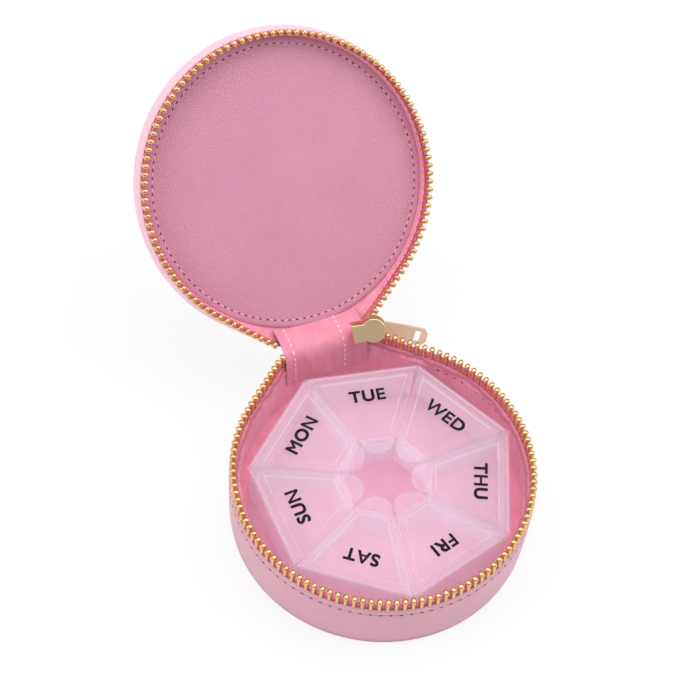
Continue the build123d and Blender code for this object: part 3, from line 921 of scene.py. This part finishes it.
teeth_rows = (
    ("base_gold_teeth", base, BASE_PHASE, BASE_RIGHT_LIMIT, "base_zip_teeth"),
    ("lid_gold_teeth", lid, LID_PHASE, LID_RIGHT_LIMIT, "lid_zip_teeth"),
)
for name, half, phase, right_limit, node in teeth_rows:
    places = [half.row_place(run, TIP_DEPTH) for run in row_runs(phase, -LEFT_LIMIT, right_limit)]
    row = scatter(name, zip_tooth(), places)
    dress(row, gold, half.body, "gold_metal", node)

# Last teeth of the two rows, joined behind the slider: where they start and end, and how far they mesh
END_START = ROW_HALF - 6.8
END_STOP = ROW_HALF - 2.5
END_MESH = 2.0
end_places = []
for half, phase in ((fold_low, BASE_PHASE), (fold_high, LID_PHASE)):
    for run in row_runs(phase, END_START, END_STOP):
        end_places.append(half.row_place(run, TIP_DEPTH - END_MESH))
end_teeth = scatter("zip_end_gold_teeth", zip_tooth(), end_places)
dress(end_teeth, gold, "zip_fold", "gold_metal", "zip_end_teeth", "zip_bottom_stop")

# The stop at the left end: its size, its rounding, and its place beside the rows' corner
STOP_SIZE = Vector((1.2, 1.6, 2.6))
STOP_ROUND = 0.4
STOP_RUN = LEFT_END + 3.1
STOP_INSET = -0.25
STOP_BACK = 1.1
STOP_LEVEL = PARTING - 1.5


def corner_stop():
    """Small crimped stop where the two rows meet beside the hinge."""
    deselect()
    bpy.ops.mesh.primitive_cube_add(size=1.0)
    stop = bpy.context.object
    stop.name = "zip_corner_stop"
    move_vertices(stop, lambda co: co * STOP_SIZE * MM)
    apply_modifier(stop, "BEVEL", width=STOP_ROUND * MM, segments=3)
    spot, face, _ = rim_point(STOP_RUN, STOP_INSET)
    place = Matrix.Translation(Vector((spot.x, spot.y + STOP_BACK, STOP_LEVEL)) * MM)
    stop.data.transform(place @ Matrix.Rotation(face, 4, "Z") @ Matrix.Rotation(FOLD, 4, "Y"))
    soften(stop, degrees=60)
    return stop


dress(corner_stop(), gold, "zip_fold", "gold_metal", "zip_top_stops")

# Sewn ends of the tapes: where they stop, how far in they lie, their thickness and their grid
SEWN_STOP = ROW_HALF + 1.4
SEWN_INSET = 0.9
SEWN_THICK = 0.55
SEWN_COLUMNS = 18
SEWN_ROWS = 8
RIGHT = 1
LEFT = -1


def end_tape(name, side, start, reach, tuck, *replaced):
    """Sewn end of the zip's tapes on one side: its start, its half width, and how far it is tucked down."""

    def place(column, row):
        run = mix(start, SEWN_STOP, column / SEWN_COLUMNS)
        drop = reach * smooth(start - 2.0, start + 2.0, run) * (2 * row / SEWN_ROWS - 1)
        inset = SEWN_INSET + 0.15 * ripple(run * 0.4, drop * 0.3, 3.3)
        spot, _, _ = rim_point((side * run) % LOOP, inset)
        return FOLD_TURN @ Vector((spot.x, spot.y, PARTING + drop)) + Vector((0, 0.5 * tuck, -tuck))

    def cloth(column, row):
        return mix(start, SEWN_STOP, column / SEWN_COLUMNS), 2 * reach * row / SEWN_ROWS

    piece = grid_piece(name, SEWN_COLUMNS, SEWN_ROWS, place, cloth)
    apply_modifier(piece, "SOLIDIFY", thickness=SEWN_THICK * MM, offset=0.0)
    weld_and_turn_out(piece)
    soften(piece)
    dress(piece, tape_cloth, "zip_fold", "zip_tape", *replaced)


end_tape("zip_end_tape_right", RIGHT, ROW_HALF - 8.0, 2.4, 0.4, "zip_end_tapes")
end_tape("zip_end_tape_left", LEFT, ROW_HALF - 4.0, 1.3, 3.4)


# Hinge: a leather strip outside and a satin strip inside

# Half width of the leather strip, edges of the satin strip, and the satin's two seams with their width
STRIP_HALF = 9.0
SATIN_LEFT = -14.6
SATIN_RIGHT = 13.2
SEAMS = (-11.4, 5.5)
SEAM_WIDTH = 0.7
STRIP_COLUMNS = 60
# Lengths over which folds fade out at a strip's ends and at its edges
END_FADE = 4
EDGE_FADE = 1.6


def hinge_path(line, steps):
    """Smooth path through the (y, z) points of a strip's line."""
    spots = [Vector((0, y, z)) for y, z in line]
    spots = [2 * spots[0] - spots[1], *spots, 2 * spots[-1] - spots[-2]]
    path = []
    for before, here, there, after in zip(spots, spots[1:], spots[2:], spots[3:]):
        for step in range(steps):
            share = step / steps
            bend = (2 * before - 5 * here + 4 * there - after) * share**2
            twist = (3 * here - before - 3 * there + after) * share**3
            path.append(here + ((there - before) * share + bend + twist) / 2)
    return [*path, spots[-2]]


def corner_fall(across):
    """How far the rim falls back beyond the hinge's straight stretch."""
    beyond = max(0.0, abs(across) - FLAT)
    return CORNER - math.sqrt(CORNER**2 - beyond**2)


def strip_point(path, row, across, lift):
    """Point across a strip, lifted off its path, and falling back with the rim's corners."""
    ahead = path[min(row + 1, len(path) - 1)] - path[max(row - 1, 0)]
    out = Vector((0, -ahead.z, ahead.y)).normalized()
    return path[row] + Vector((across, 0, 0)) + out * (lift + corner_fall(across))


def hinge_sheet(name, path, left, right, thick, wave):
    """A strip of cloth along a path, with soft folds, given its thickness last."""
    lengths = running_lengths(path)

    def place(column, row):
        along = lengths[row]
        across = mix(left, right, column / STRIP_COLUMNS)
        ends = smooth(0, END_FADE, along) * smooth(lengths[-1], lengths[-1] - END_FADE, along)
        edge = smooth(0, EDGE_FADE, across - left) * smooth(0, EDGE_FADE, right - across)
        folds = ripple(across * 0.3, along * 0.05, 2.2) + 0.5 * ripple(across * 0.7, along * 0.16, 5.5)
        seam = max(bell(across, middle, SEAM_WIDTH) for middle in SEAMS)
        lift = wave * ends * edge * folds * (1 - seam) + 0.3 * wave * seam
        return strip_point(path, row, across, lift)

    def cloth(column, row):
        return mix(0, right - left, column / STRIP_COLUMNS), lengths[row]

    strip = grid_piece(name, STRIP_COLUMNS, len(path) - 1, place, cloth)
    apply_modifier(strip, "SUBSURF", levels=1, render_levels=1)
    apply_modifier(strip, "SOLIDIFY", thickness=thick * MM, offset=0.0)
    weld_and_turn_out(strip)
    soften(strip)
    return strip, lengths[-1] * MM


cover_line = (
    (49.48, 17.4), (49.48, 20.2), (49.5, 22.3), (50.4, 23.5), (51.6, 23.4), (52.7, 22.5), (55.0, 20.3),
)
cover_path = hinge_path(cover_line, steps=4)
hinge_cover, cover_length = hinge_sheet(
    "hinge_leather_strip", cover_path, -STRIP_HALF, STRIP_HALF, thick=0.6, wave=0.0
)
paint(hinge_cover, shaded_base_leather)
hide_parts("hinge_cover")
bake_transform(hinge_cover)

lining_line = (
    (45.6, 12.4), (46.0, 16.0), (46.4, 19.2), (46.7, 21.6), (47.4, 23.9), (48.7, 25.4), (50.5, 26.0),
    (52.5, 25.9), (54.7, 25.5), (56.5, 25.0), (58.2, 24.6),
)
lining_path = hinge_path(lining_line, steps=5)
hinge_satin, satin_length = hinge_sheet(
    "hinge_satin_strip", lining_path, SATIN_LEFT, SATIN_RIGHT, thick=0.5, wave=0.75
)
paint(hinge_satin, shaded_strip_satin)
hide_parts("hinge_lining")
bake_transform(hinge_satin)


# Stitches

# Stitches of the wall: depth, spacing, distance kept from the zip's ends, height; height of the pad's
STITCH_DEPTH = 7.7
STITCH_SPACING = 3.0
STITCH_CLEAR = 14
WALL_STITCH_HIGH = 0.3
PAD_STITCH_HIGH = 0.25
# The satin strip's seam stitches: their spacing, length and thickness, and their lift off the path
SEAM_SPACING = 2.2
SEAM_STITCH = 1.5
SEAM_THREAD = 0.5
SEAM_LIFT = 0.5


def stitch_bead(length, width, height):
    """A short rounded dash, long along Y, raised along X."""
    deselect()
    bpy.ops.mesh.primitive_uv_sphere_add(segments=8, ring_count=5, radius=0.5)
    bead = bpy.context.object
    bpy.ops.object.mode_set(mode="EDIT")
    bpy.ops.mesh.select_all(action="SELECT")
    bpy.ops.transform.resize(value=(height * MM, length * MM, width * MM))
    bpy.ops.object.mode_set(mode="OBJECT")
    soften(bead, degrees=80)
    return bead


def wall_stitches(name, depth, inset, length, width, shift, finish):
    """A row of stitches around the base's wall, clear of the hinge."""
    count = round(2 * (ROW_HALF - STITCH_CLEAR) / STITCH_SPACING)
    runs = [(step + shift - count / 2) * STITCH_SPACING for step in range(count)]
    places = [base.row_place(run, depth, inset) for run in runs]
    row = scatter(name, stitch_bead(length, width, WALL_STITCH_HIGH), places)
    dress(row, finish, "base", "leather")


def hinge_stitches(name):
    """Thread down both seams of the satin strip."""
    places = []
    gone = 0.0
    for step in range(1, len(lining_path) - 1):
        gone += (lining_path[step] - lining_path[step - 1]).length
        if gone < SEAM_SPACING:
            continue
        gone -= SEAM_SPACING
        ahead = (lining_path[step + 1] - lining_path[step - 1]).normalized()
        out = Vector((0, -ahead.z, ahead.y))
        turn = Matrix((out, ahead, out.cross(ahead))).transposed().to_4x4()
        for across in SEAMS:
            spot = strip_point(lining_path, step, across, SEAM_LIFT)
            places.append(Matrix.Translation(spot * MM) @ turn)
    row = scatter(name, stitch_bead(SEAM_STITCH, SEAM_THREAD, SEAM_THREAD), places)
    paint(row, thread_pale)
    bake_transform(row)


def pad_stitches(name, length, width, shift, level, finish):
    """A ring of stitches in the lid's padded panel."""
    places = []
    for step in range(SEW_COUNT):
        turn = 2 * math.pi * (step + shift) / SEW_COUNT
        spot = lid.disc_point(SEW_RADIUS, turn, level)
        place = Matrix.Translation(spot * MM) @ LID_TURN.to_3x3().to_4x4() @ Matrix.Rotation(turn, 4, "Z")
        places.append(place @ Matrix.Rotation(math.pi / 2, 4, "Y"))
    row = scatter(name, stitch_bead(length, width, PAD_STITCH_HIGH), places)
    dress(row, finish, "case_lid", "lining_twill")


# Between the stitches, the needle holes are dark beads of painted shade
wall_stitches(
    "base_needle_holes", STITCH_DEPTH, inset=-1.02, length=1.15, width=0.5, shift=0.0, finish=needle_hole_shade
)
wall_stitches(
    "base_wall_thread", STITCH_DEPTH, inset=-1.06, length=1.7, width=0.32, shift=0.5, finish=thread_pink
)
wall_stitches(
    "base_lining_holes", STITCH_DEPTH + 1.6, inset=1.12, length=1.0, width=0.45, shift=0.0, finish=needle_hole_shade
)
hinge_stitches("hinge_seam_thread")
pad_stitches("lid_pad_holes", length=1.0, width=0.5, shift=0.0, level=4.72, finish=needle_hole_shade)
pad_stitches("lid_pad_thread", length=1.6, width=0.34, shift=0.5, level=4.73, finish=thread_pink)


# Slider, pull, tray and day lids keep their CAD shapes, with eased edges; boards and foam lie inside

EASE = 0.16
LID_EASE = 0.14
EASE_SEGMENTS = 2
EASE_ANGLE = math.radians(32)


def ease_edges(node, finish, width):
    """Round the edges of a CAD node, and give it its finish."""
    piece = nodes[node]
    weld = piece.modifiers.new("weld", "WELD")
    weld.merge_threshold = WELD
    ease = piece.modifiers.new("ease", "BEVEL")
    ease.width = width * MM
    ease.segments = EASE_SEGMENTS
    ease.limit_method = "ANGLE"
    ease.angle_limit = EASE_ANGLE
    paint(piece, finish)


ease_edges("slider_body", champagne, EASE)
ease_edges("slider_bridge", champagne, EASE)
ease_edges("pull_tab", pale_gold, EASE)
ease_edges("pill_tray", frosted_tray, EASE)
for node in ("base_board", "lid_board", "base_wall_board"):
    paint(nodes[node], card)
for node in ("base_foam", "lid_foam"):
    paint(nodes[node], foam)


# Day lids and their printed marks

DAYS = ("MON", "TUE", "WED", "THU", "FRI", "SAT", "SUN")
TRAY_CENTER = Vector((1.3, 0.4, 4.65))
FIRST_TURN = math.radians(131.0)
DAY_STEP = 2 * math.pi / len(DAYS)
MARK_REACH = 29.4
MARK_LEVEL = 14.44
MARK_TALL = 4.45
MARK_BOLD = 0.25
MARK_THICK = 0.06
MARK_SPACING = 1.12
MARK_WIDEN = 1.04
# Strokes grow along slanting normals, so they are pushed a little further
BOLD_PUSH = 1.3


def day_mark(name, words):
    """Flat bold lettering, centred at the origin: plain letters, then every stroke made wider."""
    deselect()
    bpy.ops.object.text_add()
    mark = bpy.context.object
    mark.name = name
    mark.data.body = words
    mark.data.extrude = 0.01
    mark.data.resolution_u = 5
    mark.data.space_character = MARK_SPACING
    pick(mark)
    bpy.ops.object.convert(target="MESH")
    mark = bpy.context.object
    weld_and_turn_out(mark)
    lows = [min(vertex.co[axis] for vertex in mark.data.vertices) for axis in range(3)]
    highs = [max(vertex.co[axis] for vertex in mark.data.vertices) for axis in range(3)]
    middle = (Vector(lows) + Vector(highs)) / 2
    tall = (MARK_TALL - 2 * MARK_BOLD) / (highs[1] - lows[1])
    thick = MARK_THICK / (highs[2] - lows[2])

    def fit(co):
        away = co - middle
        return Vector((away.x * tall * MARK_WIDEN, away.y * tall, away.z * thick)) * MM

    move_vertices(mark, fit)
    pick(mark)
    bpy.ops.object.mode_set(mode="EDIT")
    bpy.ops.mesh.select_all(action="SELECT")
    bpy.ops.transform.shrink_fatten(value=MARK_BOLD * BOLD_PUSH * MM, use_even_offset=False)
    bpy.ops.object.mode_set(mode="OBJECT")
    half_thick = MARK_THICK / 2 * MM
    move_vertices(mark, lambda co: Vector((co.x, co.y, math.copysign(half_thick, co.z))))
    return mark


for day, words in enumerate(DAYS):
    turn = FIRST_TURN - day * DAY_STEP
    ease_edges(f"day_lid_{day + 1}", frosted_lid, LID_EASE)
    mark = day_mark(f"day_mark_{day + 1}", words)
    spot = TRAY_CENTER + toward(turn).to_3d() * MARK_REACH + Vector((0, 0, MARK_LEVEL + MARK_THICK / 2))
    mark.data.transform(Matrix.Translation(spot * MM) @ Matrix.Rotation(turn - math.pi / 2, 4, "Z"))
    dress(mark, ink, f"day_lid_{day + 1}", "frosted_plastic")


# Floor, light and camera: places in metres, the lens and its sensor in millimetres

FLOOR_SIZE = 6.0
FLOOR_LEVEL = -0.0002
FLOOR_WHITE = 0.84
ROOM_LIGHT = 0.5
ROOM_SEEN = 1.0
LIGHT_AIM = Vector((0, 0.03, 0.03))
LENS = 102.857
SENSOR = 36.0
CAMERA_RIGHT = (0.92974, -0.36390, 0.05622)
CAMERA_UP = (0.27433, 0.78641, 0.55345)
CAMERA_BACK = (-0.24561, -0.49914, 0.83098)
CAMERA_PLACE = Vector((-149.57, -272.57, 551.51)) * MM
# Sight passes through many frosted walls, one behind another
SIGHT_LAYERS = 48

deselect()
bpy.ops.mesh.primitive_plane_add(size=FLOOR_SIZE, location=(0, 0, FLOOR_LEVEL))
floor = bpy.context.object
floor.name = "pale_floor"
floor.data.materials.append(floor_finish("pale_floor", FLOOR_WHITE))

world = bpy.data.worlds.new("soft_room")
scene.world = world
world.use_nodes = True
sky = world.node_tree.nodes["Background"]
sky.inputs["Color"].default_value = WHITE
ray = world.node_tree.nodes.new("ShaderNodeLightPath")
level = world.node_tree.nodes.new("ShaderNodeMix")
level.inputs[2].default_value = ROOM_LIGHT
level.inputs[3].default_value = ROOM_SEEN
world.node_tree.links.new(ray.outputs["Is Camera Ray"], level.inputs[0])
world.node_tree.links.new(level.outputs[0], sky.inputs["Strength"])


def softbox(name, place, size, power):
    """A square studio lamp that faces the case."""
    lamp_data = bpy.data.lights.new(name, "AREA")
    lamp_data.size = size
    lamp_data.energy = power
    lamp = bpy.data.objects.new(name, lamp_data)
    scene.collection.objects.link(lamp)
    lamp.location = place
    lamp.rotation_euler = (LIGHT_AIM - Vector(place)).to_track_quat("-Z", "Y").to_euler()


softbox("top_light", (0.12, 0.2, 1.05), size=0.9, power=6.4)
softbox("left_light", (-0.8, 0.1, 0.7), size=0.55, power=3.0)
softbox("right_light", (0.8, -0.25, 0.75), size=0.6, power=3.2)

camera_data = bpy.data.cameras.new("photo_camera")
camera_data.lens = LENS
camera_data.sensor_width = SENSOR
camera = bpy.data.objects.new("photo_camera", camera_data)
scene.collection.objects.link(camera)
pose = Matrix((CAMERA_RIGHT, CAMERA_UP, CAMERA_BACK)).transposed().to_4x4()
pose.translation = CAMERA_PLACE
camera.matrix_world = pose
scene.camera = camera

scene.view_settings.view_transform = "Standard"
scene.cycles.transparent_max_bounces = SIGHT_LAYERS
